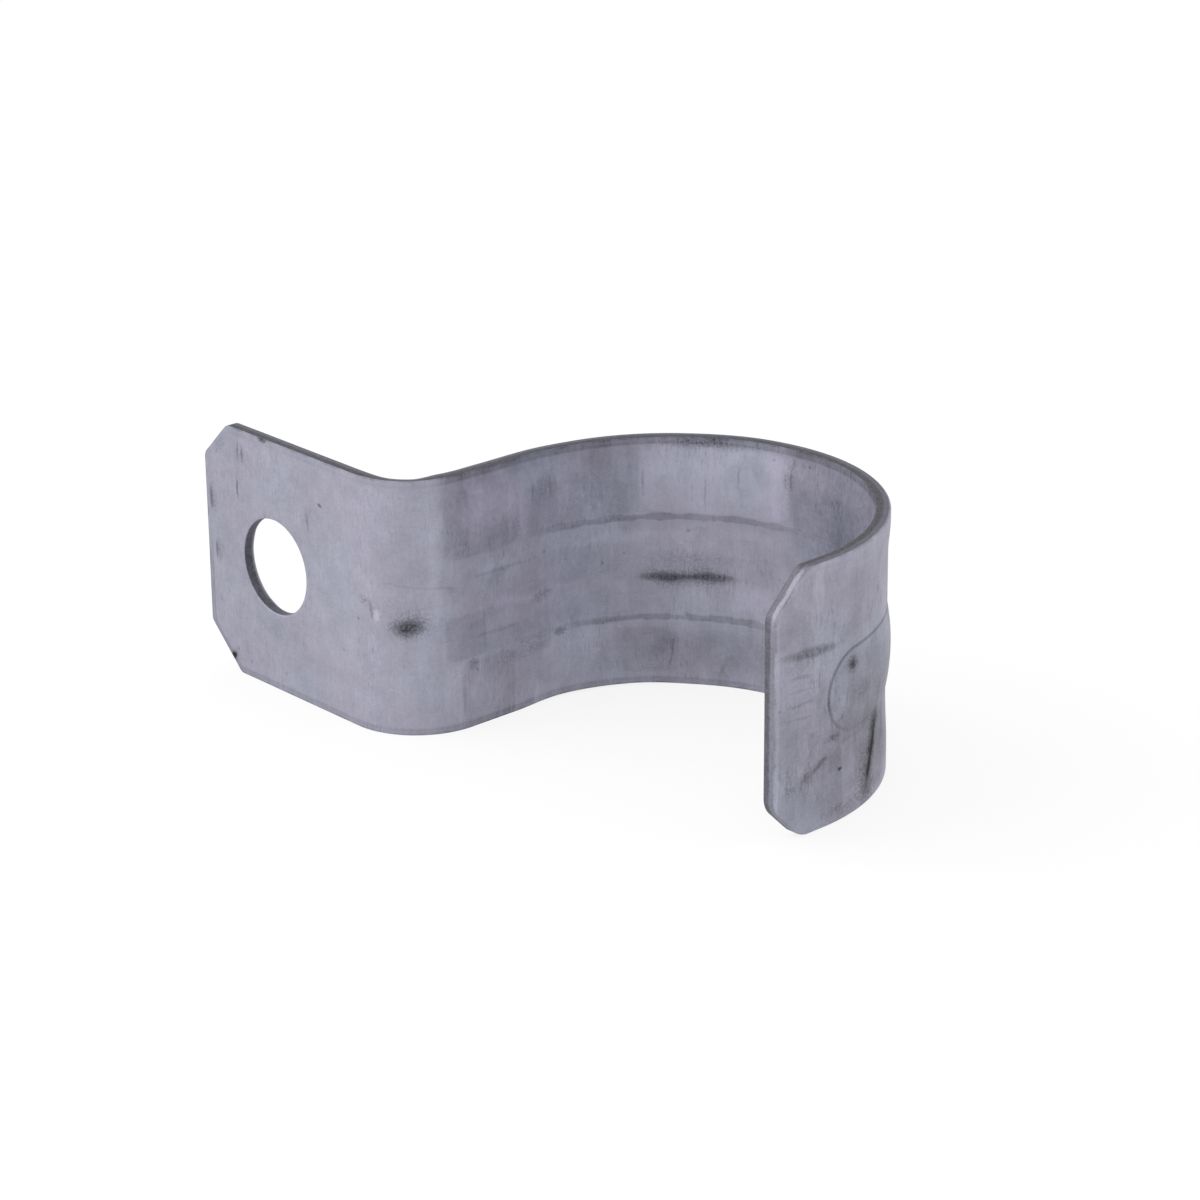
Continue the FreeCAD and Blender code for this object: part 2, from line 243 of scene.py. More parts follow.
# Marks on the two faces: (s, z, length, width, turn in degrees, change), all in millimetres. The soft and
# the broad kinds are painted light and shade in soft-edged places, the firm kind is painted light and shade
# with firm borders, such as the step where the fold ends, smears are rubbed dirt, tints are warmer or
# cooler places, and lines are crisp: scratches, pits and dark lines along creases.
marks = {
    "wallSide": {
        "depth": 0.0,
        "softLightShade": [
            (24.4, 16, 3.4, 26, 0, 0.08), (28.4, 15, 3.0, 26, 0, -0.03), (31.0, 17, 2.2, 24, 0, 0.14),
            (28, 4, 9, 12, 0, 0.04), (38, 22, 12, 8, 0, 0.18), (41, 9.4, 14, 2.4, 0, 0.1),
            (56, 21, 8, 11, 0, 0.05), (67, 20, 6, 16, 0, 0.22), (66, 15, 8, 8, 0, 0.07),
            (77, 20, 12, 16, 0, -0.24), (66, 9.5, 9, 5, 0, 0.2), (58, 3.4, 26, 8, 0, -0.18),
            (41, 11.3, 16, 1.5, 0, 0.16), (37, 15.6, 10, 1.4, 0, 0.08), (52, 15.4, 26, 2.0, 0, 0.14),
            (38.5, 14.5, 9, 1.2, 0, -0.1), (34.6, 20.8, 2.6, 4, 0, 0.08), (35.1, 3.4, 2.2, 3, 0, 0.16),
            (37.8, 2.2, 1.8, 2, 0, 0.12), (45, 9.0, 10, 1.4, 0, -0.06), (74, 10, 12, 12, 0, -0.1),
            (38.5, 21.5, 9, 11, 0, 0.22), (35.6, 21, 5, 10, 0, 0.16), (59, 14.2, 16, 3.4, 0, 0.08),
            (48, 11, 10, 3, 0, 0.08),
        ],
        "broadLightShade": [
            (7, 12.7, 30, 44, 0, -0.07), (28, 12.7, 8, 44, 0, 0.07), (65, 8.5, 6, 6, 0, 0.06),
            (60, 3, 16, 6, 0, -0.06), (92, 24, 28, 6, 0, -0.35), (41, 21.5, 16, 9, 0, 0.05),
        ],
        "firmLightShade": [
            (36.4, 21.4, 9.2, 9.2, 0, -0.16), (34.4, 9.2, 4.8, 4.4, 0, -0.12),
            (36.8, 3.2, 6.6, 7.2, 0, -0.12), (51.0, 21.4, 4.6, 7.4, 0, -0.08),
            (73, 21.5, 7.6, 8.2, 0, -0.14), (46.8, 22, 3, 5, 0, 0.05), (61.4, 21.2, 15.6, 6.8, 0, 0.1),
            (40.6, 20.6, 2.2, 7, 0, 0.05), (20.0, 8.0, 5.4, 6.4, 0, 0.02),
            (54.5, 3.6, 5.2, 5.0, 0, -0.06), (64, 14.9, 8, 3.0, 0, 0.04), (44, 4, 5, 4.6, 0, -0.04),
            (35.6, 20.6, 1.8, 7.0, 0, 0.06), (43.8, 20.4, 3.2, 5.0, 0, -0.06),
            (50.2, 12.4, 3.4, 7.6, 0, -0.04),
        ],
        "smears": [
            (28.7, 11.2, 6.6, 4.6, 12, -0.24), (28.3, 10.9, 4.8, 2.7, 0, -0.6),
            (58.3, 11.1, 14, 3.0, 0, -0.26), (58.3, 13.0, 13, 2.4, 0, -0.12),
            # the two long smears at z 24.8 and 24.9 darken a band just below the top edge
            (43.7, 10.9, 3.2, 2.0, 0, -0.26), (60, 24.9, 9, 1.8, 0, -0.2), (62, 24.8, 20, 1.2, 0, -0.12),
            (24.1, 13.1, 2.2, 1.6, -50, -0.25), (35.0, 6.4, 1.7, 2.0, 0, -0.3),
            (41, 6.0, 11, 2.8, 0, -0.12), (56.2, 11.1, 7.0, 1.8, 0, -0.24),
            (43.8, 21.4, 3.6, 4.2, 0, -0.12), (16, 19.0, 2.4, 4.0, 0, -0.1),
            (1.1, 17.2, 1.8, 4.4, 0, -0.17), (1.6, 12, 2.0, 3.6, 0, -0.17),
            (5.4, 22.9, 3.0, 3.6, 0, -0.1), (2.6, 23.0, 4.4, 1.3, 45, -0.14),
            (69, 22.4, 2.2, 4.4, 0, -0.22), (61.0, 11.1, 6.2, 1.7, 0, -0.24), (9, 6, 8, 3, 0, -0.05),
            (40.4, 18.6, 1.6, 3.4, 0, -0.12), (3.4, 1.6, 2.2, 1.4, 40, -0.35),
        ],
        "tints": [
            (28, 18, 8, 18, 0, 0.3), (40, 5, 14, 7, 0, 0.5), (46, 15, 18, 22, 0, -0.6),
            (61, 18, 14, 20, 0, 0.5), (74, 20, 10, 14, 0, -0.3),
        ],
        "lines": [
            (17.8, 20.9, 0.8, 0.5, 0, -0.5), (3.3, 1.45, 1.4, 0.8, 40, -0.5),
            (5.3, 23.3, 0.35, 2.6, 0, -0.26), (5.95, 22.9, 0.35, 2.2, 0, -0.26),
            (5.0, 19.4, 0.45, 2.4, 0, -0.36), (0.8, 17.4, 0.5, 2.8, 0, -0.3),
            (1.3, 12.0, 0.5, 2.2, 0, -0.3), (15.8, 18.8, 0.4, 2.6, 10, -0.22),
            # the pale line at s 25.25 is a painted highlight on the small dart where the groove starts, the
            # dark one beside it painted shade
            (25.25, 11.8, 0.8, 1.4, 0, 0.32), (24.7, 12.3, 0.45, 2.0, 8, -0.3),
            (45.5, 6.7, 1.6, 1.0, 0, -0.35), (33.8, 3.4, 0.4, 4.6, 0, -0.18),
            (30, 14.7, 10, 0.35, -8, -0.1), (42.5, 21.6, 0.3, 2.6, 0, -0.2),
            (44.6, 21.8, 0.3, 2.8, 0, -0.2), (38.2, 8.8, 8, 0.5, 0, -0.14), (39, 14.8, 8, 0.6, 0, -0.16),
            (57, 3.6, 0.4, 3.8, -8, -0.18), (9.2, 25.2, 1.6, 0.7, 0, -0.5),
            (56.2, 11.05, 6.0, 1.0, 0, -0.26), (60.6, 11.15, 6.0, 1.0, 0, -0.26),
            (69.2, 22.5, 0.3, 3.2, 0, -0.2), (54.2, 21, 0.35, 3.6, 0, -0.22),
            (60.2, 20, 0.3, 4.6, 0, -0.2), (63.5, 21.6, 0.3, 3.6, 0, -0.2), (50.2, 6.9, 5, 0.7, 0, -0.12),
            (48.5, 17.2, 12, 0.6, 2, -0.12), (68.5, 22.2, 0.3, 2.6, 0, -0.16),
        ],
    },
    "outside": {
        "depth": strap["thickness"],
        "softLightShade": [
            (98, 8, 26, 24, 0, -0.17), (99.3, 12.1, 2.4, 6.8, 8, 0.2), (106, 20, 6, 10, 0, -0.07),
            (96, 20, 14, 10, 0, -0.06),
        ],
        "broadLightShade": [(90, 8, 15, 18, 0, -0.22), (102, 8, 18, 18, 0, -0.1), (97, 21, 24, 9, 0, -0.08)],
        "firmLightShade": [
            (97.4, 21, 4.6, 6.0, 0, 0.03), (104.6, 21.6, 3.2, 5.0, 0, -0.03),
            (107.3, 12.7, 0.7, 30, 0, 0.13),
        ],
        "smears": [
            (93.9, 5.2, 2.6, 8.2, 18, -0.42), (94.8, 2.2, 3.2, 4.4, 10, -0.35),
            (97.9, 14.7, 2.4, 2.0, 0, -0.4), (93, 7.4, 3.6, 2.8, 0, -0.22),
            (100.4, 8.4, 2.8, 1.2, 0, -0.25), (96, 1.2, 16, 2.6, 0, -0.2),
            (103.4, 5.6, 6.4, 1.6, -25, -0.15), (95.8, 4.4, 4.4, 7.6, 15, -0.16),
            (96.4, 11.6, 3.6, 3.2, 0, -0.12), (105.6, 5.6, 2.4, 4.0, 0, -0.14),
            (104.6, 16.2, 5, 3, 0, -0.1), (91, 5, 5, 8, 0, -0.1), (103, 17.3, 9.4, 2.0, 4, -0.16),
        ],
        "tints": [(97, 9, 24, 22, 0, 0.5)],
        "lines": [
            (99.3, 5.1, 0.6, 0.5, 0, -0.5), (101.8, 6.4, 2.8, 0.7, -30, -0.22),
            (97.9, 14.7, 1.1, 0.9, 0, -0.2), (103.2, 17.4, 8.6, 1.3, 4, -0.26),
            (94.0, 4.6, 7.8, 0.8, -67, -0.32), (104.2, 15.4, 4.0, 0.4, 4, -0.14),
            (104.4, 14.1, 4.2, 0.35, 5, -0.13), (104.2, 12.8, 3.8, 0.4, 3, -0.14),
            (104.4, 11.5, 4.0, 0.4, 4, -0.13),
        ],
    },
}
markKinds = {  # share that is full before it fades, how far its border wanders, and how square it is
    "softLightShade": (0.0, 0.8, 2),
    "broadLightShade": (0.4, 0.8, 4),
    "firmLightShade": (0.93, 0.15, 8),
    "smears": (0.15, 0.35, 2),
    "tints": (0.2, 1.5, 2),
}
wanderSize = 2.4  # mm between the places where a border wanders in or out


def markTone(s, z, w, wander, kind):
    # adds up one kind of mark: each is full in its middle, and gone at its edge
    fullShare, wanderBy, square = markKinds[kind]
    s, z = s + wanderBy * wander[:, 0], z + wanderBy * wander[:, 1]
    total = np.zeros_like(s)
    for face in marks.values():
        onFace = (w > thickness / 2) == (face["depth"] > thickness / 2)
        for markS, markZ, markLength, markWidth, turn, change in face[kind]:
            c, k = math.cos(math.radians(turn)), math.sin(math.radians(turn))
            along = np.abs((s - markS) * c + (z - markZ) * k) * 2 / markLength
            across = np.abs((z - markZ) * c - (s - markS) * k) * 2 / markWidth
            reach = (along ** square + across ** square) ** (1 / square)
            total += onFace * change * (1 - smoothStep(fullShare, 1, reach))
    return total


def buildStrap():
    along = spread(strap["columns"], strap["endShare"], strap["endColumns"])
    across = np.linspace(0, 1, strap["rows"] + 1)
    columns, rows = len(along), len(across)
    points, faces = [], []

    def addPoints(s, z, w):
        # keeps blank points and gives back their numbers
        first = sum(len(group) for group in points)
        s, z, w = np.broadcast_arrays(s, z, w)
        points.append(np.stack([s.ravel(), z.ravel(), w.ravel()], -1).astype(float))
        return (first + np.arange(s.size)).reshape(s.shape)

    def join(ring, nextRing):
        # a closed band of quads between two rings of numbers
        ringNext, followNext = np.roll(ring, -1), np.roll(nextRing, -1)
        for here, there, thereNext, hereNext in zip(ring, nextRing, followNext, ringNext):
            faces.append((here, there, thereNext, hereNext))

    # the window of the grid that the hole's rings fill
    clear = holeRadius + strap["holeMargin"]
    left = np.searchsorted(along * length, hole[0] - clear)
    right = np.searchsorted(along * length, hole[0] + clear)
    bottom = np.searchsorted(across * width, hole[1] - clear)
    top = np.searchsorted(across * width, hole[1] + clear)

    def roundTrip(firstColumn, lastColumn, firstRow, lastRow):
        # grid places round a rectangle, in order
        trip = [(column, firstRow) for column in range(firstColumn, lastColumn)]
        trip += [(lastColumn, row) for row in range(firstRow, lastRow)]
        trip += [(column, lastRow) for column in range(lastColumn, firstColumn, -1)]
        trip += [(firstColumn, row) for row in range(lastRow, firstRow, -1)]
        return tuple(np.array(trip).T)

    edge = roundTrip(0, columns - 1, 0, rows - 1)
    window = roundTrip(left, right, bottom, top)
    faceInsets = {0.0: strap["edgeBurr"], thickness: strap["edgeRoll"]}
    faceRings = {}
    for w, inset in faceInsets.items():
        s, z = blankPoints(across[None, :], along[:, None], inset)
        s = np.broadcast_to(s, z.shape)
        numbers = addPoints(s, z, w)
        for column in range(columns - 1):
            for row in range(rows - 1):
                if left <= column < right and bottom <= row < top:
                    continue
                corners = ((column, row), (column + 1, row), (column + 1, row + 1), (column, row + 1))
                faces.append(tuple(numbers[place] for place in corners))
        # rings from the window's square to the hole's edge
        turn = np.arctan2(z[window] - hole[1], s[window] - hole[0])
        edgeGap = strap["holeRoll"] if w == 0 else strap["holeTear"]
        rings = [numbers[window]]
        for share in strap["holeRings"]:
            radius = holeRadius + edgeGap
            ringS = s[window] + (hole[0] + radius * np.cos(turn) - s[window]) * share
            ringZ = z[window] + (hole[1] + radius * np.sin(turn) - z[window]) * share
            rings.append(addPoints(ringS, ringZ, np.full_like(ringS, w)))
        for ring, nextRing in zip(rings, rings[1:]):
            join(ring, nextRing)
        faceRings[w] = (numbers[edge], rings[-1], turn)

    # the sheared edge, from the wall side to the rolled side
    alongEdge, acrossEdge = along[edge[0]], across[edge[1]]
    burr, roll = strap["edgeBurr"], strap["edgeRoll"]
    quarter = np.radians([22, 45, 67])  # steps round a drawn-in edge
    profile = [(0.0, burr)] + [(0.0, thickness * share) for share in strap["shearLevels"]]
    profile.append((0.0, thickness - roll))
    profile += [(roll * (1 - math.cos(a)), thickness - roll * (1 - math.sin(a))) for a in quarter]
    rings = [faceRings[0.0][0]]
    for inset, w in profile:
        s, z = blankPoints(acrossEdge, alongEdge, inset)
        rings.append(addPoints(s, z, w))
    rings.append(faceRings[thickness][0])
    for ring, nextRing in zip(rings, rings[1:]):
        join(ring, nextRing)

    # the punched hole's wall, rolled in on the wall side and torn out on the other
    turn = faceRings[0.0][2]
    roll = strap["holeRoll"]
    profile = [(roll * (1 - math.sin(a)), roll * (1 - math.cos(a))) for a in quarter]
    profile += [(0.0, roll), (0.0, thickness / 2)]
    profile += [(gap, thickness * share) for gap, share in strap["holeTorn"]]
    rings = [faceRings[0.0][1]]
    for gap, w in profile:
        isTorn = w > thickness * strap["tornFrom"]
        torn = 1 + strap["tornUneven"] * np.sin(turn * 9 + 1) * np.sin(turn * 4) * isTorn
        radius = holeRadius + gap * torn
        rings.append(addPoints(hole[0] + radius * np.cos(turn), hole[1] + radius * np.sin(turn), w))
    rings.append(faceRings[thickness][1])
    for ring, nextRing in zip(rings, rings[1:]):
        join(ring, nextRing)

    blank = np.concatenate(points)
    onRing = np.zeros(len(blank), int)
    onRing[faceRings[0.0][0]] = 1
    shaped = bendStrip(*pressStrip(*blank.T)) * mm
    mesh = bpy.data.meshes.new("conduitStrap")
    mesh.from_pydata(shaped.tolist(), [], [tuple(int(number) for number in face) for face in faces])
    mesh.attributes.new("sharpRing", "INT", "POINT").data.foreach_set("value", onRing)
    # what the material needs to know of each point: where it lies on the blank, its form (how high the
    # ridge or the groove is there, each on its own face, and how far it is from a cut edge), and its marks:
    # painted light and shade, dirt and tint
    s, z, w = blank.T
    ridge, groove = beadHeights(s, z)
    fromEdge = np.minimum(s, length - s)
    for side, rise in (("Bottom", z), ("Top", width - z)):
        fromEdge = np.minimum(fromEdge, rise - edgeDrop(np.clip(s, 0, length), side, 0.0))
    isOutside = w > thickness / 2
    form = np.stack([np.where(isOutside, ridge, 1), np.where(isOutside, 1, groove), fromEdge], -1)
    size, cut = wanderSize, 4.2  # where the noise is cut through
    wander = np.array([noise.noise_vector(Vector((a / size, b / size, cut)))[:2] for a, b in zip(s, z)])
    paintedLight = markTone(s, z, w, wander, "softLightShade") + markTone(s, z, w, wander, "broadLightShade")
    paintedLight += markTone(s, z, w, wander, "firmLightShade")
    dirt = -markTone(s, z, w, wander, "smears")
    paintedLightDirtTint = np.stack([paintedLight, dirt, markTone(s, z, w, wander, "tints")], -1)
    for name, values in (("blank", blank), ("form", form), ("paintedLightDirtTint", paintedLightDirtTint)):
        place = mesh.attributes.new(name, "FLOAT_VECTOR", "POINT")
        place.data.foreach_set("vector", values.astype(np.float32).ravel())
    return mesh


def cleanMesh(mesh):
    # drops the grid points inside the hole's window and turns every face outwards
    work = bmesh.new()
    work.from_mesh(mesh)
    bmesh.ops.delete(work, geom=[v for v in work.verts if not v.link_faces], context="VERTS")
    bmesh.ops.recalc_face_normals(work, faces=work.faces)
    for face in work.faces:
        face.smooth = True
    ring = work.verts.layers.int["sharpRing"]
    for edge in work.edges:
        edge.smooth = not all(corner[ring] for corner in edge.verts)
    work.to_mesh(mesh)
    work.free()
    mesh.attributes.remove(mesh.attributes["sharpRing"])


strapMesh = buildStrap()
cleanMesh(strapMesh)
strapPiece = bpy.data.objects.new("strap", strapMesh)
bpy.context.scene.collection.objects.link(strapPiece)
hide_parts("conduit_strap")
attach(strapPiece, "root")
print("strap pressed:", len(strapMesh.polygons), "faces")


def linearColour(hexCode):
    # sRGB hex to the linear values that a shader takes
    parts = [int(hexCode[at:at + 2], 16) / 255 for at in (1, 3, 5)]
    return tuple(c / 12.92 if c <= 0.04045 else ((c + 0.055) / 1.055) ** 2.4 for c in parts) + (1.0,)


def addNode(tree, kind, settings=None, links=None):
    # adds one node, sets its choices and fixed sockets, and links other nodes into it
    node = tree.nodes.new("ShaderNode" + kind)
    for name, value in (settings or {}).items():
        if isinstance(name, str) and hasattr(node, name):
            setattr(node, name, value)
        else:
            node.inputs[name].default_value = value
    for name, source in (links or {}).items():
        socket = source.outputs[0] if isinstance(source, bpy.types.Node) else source
        tree.links.new(socket, node.inputs[name])
    return node


zinc = {
    "colour": "#9c9baa",
    "warm": "#9d9aa9",  # where handling has dulled it
    "cool": "#9a9cab",  # where the zinc is freshest
    "hueSize": 9.0,
    "metallic": 0.6,  # its dull skin scatters nearly half of the light
    "roughness": 0.5,
    "roughnessSwing": 0.06,
    "dirtRoughness": 0.1,  # how much duller it is where dirt lies
    "bumpStrength": 0.3,
    "bumpHeight": 0.02,  # mm
    "noiseRange": (0.35, 0.65),  # where most values of a noise pattern lie
    # each pattern's size along and across the strip in mm, and how far it swings the tone
    "clouds": (7.0, 7.0, 0.045),
    "patches": (1.9, 1.9, 0.045),
    "crystals": (0.45, 0.6, 0.05),
    "grain": (0.2, 0.2, 0.045),  # really under 0.05, drawn coarser to show
    "streaks": (0.4, 5.0, 0.02),  # rolling marks, which run across the strip
    "scratches": (0.18, 1.3, 0.0),  # no even swing: its two ends are drawn dark and pale
    "plates": ((3.6, 8.0, 0.07), (1.4, 4.0, 0.045)),  # patches with firm borders, left by the dies
    "platesFrom": (31.5, 31.9),  # where along the strip the dies pressed
    "pushSize": 1.3,  # mm between places that are pushed about
    "pushBy": 0.4,
    "lineDepth": 0.6,  # how far a line's colour reaches into the sheet
    "lineScatter": 0.6,  # how broken its border is
    "scratchDark": -0.22,
    "scratchPale": 0.12,
    "darkRange": (0.6, 0.68),  # of the scratch noise that becomes dark and pale scratches
    "paleRange": (0.32, 0.4),
    "wornRange": (0.42, 0.62),  # of the clouds that are scratched
    "gritSize": 0.26,  # of the dirt's specks, really finer too
    "gritRange": (0.38, 0.62),
    "gritSwing": 0.9,
    "speckSpacing": 2.1,
    "speckSize": (0.05, 0.12),  # share of that spacing, from solid to gone
    "speckDark": -0.26,
    "speckPale": 0.12,
}
crease = {  # painted shade along the bead's borders outside, a darker line along them inside, and where along (s) and across (z) the strip it changes
    "outside": -0.36,
    "outsideReach": (0.012, 0.05),  # heights of the bead, either way, where the line is full and gone
    "inside": -0.24,
    "insideReach": (0.04, 0.06),
    "insideSwing": (-0.02, 0.015),  # how much wider and narrower the inside line is in places
    "onSeat": 0.4,  # share of the outside line along neck and seat
    "below": 0.2,  # and on the tail, on its lower border
    "above": 1.0,  # and on its upper one
    "onTail": (80.0, 87.0),
    "borders": (8.5, 11.5),
    "gather": (38.0, 54.0),  # the inside line comes in along the seat
    "fade": (65.0, 71.0),
    "faded": 0.3,
}
cutEdge = {
    "line": -0.05,  # tone of the line that the shear pressed beside the cut
    "lineAt": 0.62,  # how far in from the cut it runs
    "lineReach": (0.05, 0.2),  # how far from its middle it is full and gone
    "wallSide": (0.02, 0.1),  # depths between the wall side and the rest of the sheet
    "rimWidth": 0.65,  # of the darker rim beside the cut
    "rimSoft": 0.12,
    "rimBelow": -0.15,
    "rimFoot": -0.02,  # on the upper edge
    "rimNeck": -0.28,
    "rimHeights": (12.0, 14.0),  # z
    "rimRise": (31.0, 34.0),  # s
    "brink": -0.22,  # uneven dark brink of the cut
    "brinkReach": (0.04, 0.2),
    "brinkUneven": (-0.05, 0.1),
    "wallBrink": (0.02, 0.08),  # depths where the cut begins and ends
    "outerBrink": (1.12, 1.24),
    "torn": 0.2,  # tone of the sheared edge beside the wall side, torn and dark
    "burnished": 0.37,  # and beside the rolled side
    "tearDepths": (0.58, 0.78),  # between the two
    "tornUneven": 0.07,
    "speckled": 0.06,
    "tail": 1.75,  # painted light: how much lighter both are on the tail's end
    "tailLength": (4.5, 3.5),  # of that stretch
    "corner": 2.1,  # and on its upper corner, more painted light
    "cornerHeights": (18.0, 21.0),
    "holeFrom": (1.0, 2.0),  # further than this from the strip's outline, a cut is the hole's
    "holeDepths": (0.8, 0.95),  # between its torn wall and its rim
    "holeTorn": 0.3,
    "holeRim": 0.62,
}


# Electro-galvanised cold-rolled steel: a thin dull zinc layer with a faint violet-grey cast, which
# scatters what it mirrors and keeps dark handling marks, so it reads as matt metal, not as chrome.
# The sheared edges are bare steel: dark and torn by the wall side, burnished by the rolled side.
def zincCoatedSteel():
    material = bpy.data.materials.new("zincCoatedSteel")
    material.use_nodes = True
    tree = material.node_tree
    tree.nodes.clear()
    noiseLow, noiseHigh = zinc["noiseRange"]
    stored = [addNode(tree, "Attribute", {"attribute_name": name}) for name in ("blank", "form", "paintedLightDirtTint")]
    place, form, paintedLightDirtTint = [node.outputs["Vector"] for node in stored]
    along, across, depth = addNode(tree, "SeparateXYZ", None, {0: place}).outputs
    overRidge, overGroove, fromEdge = addNode(tree, "SeparateXYZ", None, {0: form}).outputs
    paintedLight, dirt, warmth = addNode(tree, "SeparateXYZ", None, {0: paintedLightDirtTint}).outputs

    def changeTone(tone, value, start, end, atStart, atEnd, share=None):
        # adds to the tone a change that follows a value, as large as its share says
        change = addNode(tree, "MapRange", {"From Min": start, "From Max": end, "To Min": atStart,
                                            "To Max": atEnd}, {"Value": value})
        if share:
            change = addNode(tree, "Math", {"operation": "MULTIPLY"}, {0: change, 1: share})
        return addNode(tree, "Math", {"operation": "ADD"}, {0: tone, 1: change})

    def swingTone(tone, pattern, swingBy):
        # lets a noise pattern darken and lighten the tone by the same amount
        return changeTone(tone, pattern, noiseLow, noiseHigh, -swingBy, swingBy)

    # the same places pushed about a little, so that what is drawn on them has uneven borders
    push = addNode(tree, "TexNoise", {"Scale": 1 / zinc["pushSize"], "Detail": 2.0}, {"Vector": place})
    centred = addNode(tree, "VectorMath", {"operation": "SUBTRACT", 1: (0.5, 0.5, 0.5)},
                      {0: push.outputs["Color"]})
    pushBy = (zinc["pushBy"], zinc["pushBy"], 0.0)
    wavy = addNode(tree, "VectorMath", {"operation": "MULTIPLY_ADD", 1: pushBy}, {0: centred, 2: place})

    # dirt is solid where there is much of it, and specks where there is little
    grit = addNode(tree, "TexNoise", {"Scale": 1 / zinc["gritSize"], "Detail": 1.5}, {"Vector": place})
    gritLow, gritHigh = zinc["gritRange"]
    loose = addNode(tree, "MapRange", {"From Max": 0.5, "To Min": 1.0, "To Max": 0.15}, {"Value": dirt})
    swing = addNode(tree, "MapRange", {"From Min": gritLow, "From Max": gritHigh,
                                       "To Min": -zinc["gritSwing"], "To Max": zinc["gritSwing"]},
                    {"Value": grit})
    swing = addNode(tree, "Math", {"operation": "MULTIPLY"}, {0: swing, 1: loose})
    dirt = addNode(tree, "Math", {"operation": "MULTIPLY_ADD"}, {0: dirt, 1: swing, 2: dirt})
    # the painted light and shade of the marks lighten and darken the tone, and the dirt darkens it
    tone = addNode(tree, "Math", {"operation": "ADD", 1: 1.0}, {0: paintedLight})
    tone = addNode(tree, "Math", {"operation": "SUBTRACT"}, {0: tone, 1: dirt})

    # the crisp marks of both faces
    scatter = addNode(tree, "MapRange", {"To Min": -zinc["lineScatter"], "To Max": zinc["lineScatter"]},
                      {"Value": grit})
    for face in marks.values():
        for s, z, markLength, markWidth, turn, change in face["lines"]:
            local = addNode(tree, "Mapping",
                            {"vector_type": "TEXTURE", "Location": (s, z, face["depth"]),
                             "Rotation": (0, 0, math.radians(turn)),
                             "Scale": (markLength / 2, markWidth / 2, zinc["lineDepth"])}, {"Vector": wavy})
            reach = addNode(tree, "VectorMath", {"operation": "LENGTH"}, {0: local}).outputs["Value"]
            reach = addNode(tree, "Math", {"operation": "ADD"}, {0: reach, 1: scatter})
            tone = changeTone(tone, reach, 0.5, 1.0, change, 0.0)

    # the zinc's own patterns, from clouds to grain
    drawn = {}
    for name in ("clouds", "patches", "crystals", "grain", "streaks", "scratches"):
        alongSize, acrossSize, swingBy = zinc[name]
        scale = (1 / alongSize, 1 / acrossSize, 1 / alongSize)
        sized = addNode(tree, "Mapping", {"Scale": scale}, {"Vector": wavy})
        drawn[name] = addNode(tree, "TexNoise", {"Scale": 1.0, "Detail": 2.0}, {"Vector": sized})
        if swingBy:
            tone = swingTone(tone, drawn[name], swingBy)
    wornLow, wornHigh = zinc["wornRange"]
    worn = addNode(tree, "MapRange", {"From Min": wornLow, "From Max": wornHigh},
                   {"Value": drawn["clouds"]})
    tone = changeTone(tone, drawn["scratches"], *zinc["darkRange"], 0.0, zinc["scratchDark"], worn)
    tone = changeTone(tone, drawn["scratches"], *zinc["paleRange"], zinc["scratchPale"], 0.0, worn)
    diesFrom, diesTo = zinc["platesFrom"]
    pressed = addNode(tree, "MapRange", {"From Min": diesFrom, "From Max": diesTo}, {"Value": along})
    for alongSize, acrossSize, swingBy in zinc["plates"]:
        sized = addNode(tree, "Mapping", {"Scale": (1 / alongSize, 1 / acrossSize, 0.1)}, {"Vector": wavy})
        cells = addNode(tree, "TexVoronoi", {"distance": "CHEBYCHEV", "Scale": 1.0}, {"Vector": sized})
        cell = addNode(tree, "SeparateXYZ", None, {0: cells.outputs["Color"]})
        tone = changeTone(tone, cell, 0.0, 1.0, -swingBy, swingBy, pressed)

    # a speck in some of the cells of a scattered pattern, dark in a few and pale in others
    cells = addNode(tree, "TexVoronoi", {"Scale": 1 / zinc["speckSpacing"]}, {"Vector": wavy})
    solid, gone = zinc["speckSize"]
    spot = addNode(tree, "MapRange", {"From Min": solid, "From Max": gone, "To Min": 1.0, "To Max": 0.0},
                   {"Value": cells.outputs["Distance"]})
    cell = addNode(tree, "SeparateXYZ", None, {0: cells.outputs["Color"]})
    for channel, start, change in (("X", 0.72, zinc["speckDark"]), ("Y", 0.8, zinc["speckPale"])):
        tone = changeTone(tone, cell.outputs[channel], start, start + 0.15, 0.0, change, spot)

    # outside, a fine line of painted shade lies in the crease along the bead's borders, most of it on the
    # tail's upper one
    tailFrom, tailTo = crease["onTail"]
    lowBorder, highBorder = crease["borders"]
    lowerShare, upperShare = [
        addNode(tree, "MapRange", {"From Min": tailFrom, "From Max": tailTo, "To Min": crease["onSeat"],
                                   "To Max": crease[side]}, {"Value": along})
        for side in ("below", "above")]
    creaseShare = addNode(tree, "MapRange", {"From Min": lowBorder, "From Max": highBorder},
                          {"Value": across, "To Min": lowerShare, "To Max": upperShare})
    away = addNode(tree, "Math", {"operation": "ABSOLUTE"}, {0: overRidge})
    tone = changeTone(tone, away, *crease["outsideReach"], crease["outside"], 0.0, creaseShare)

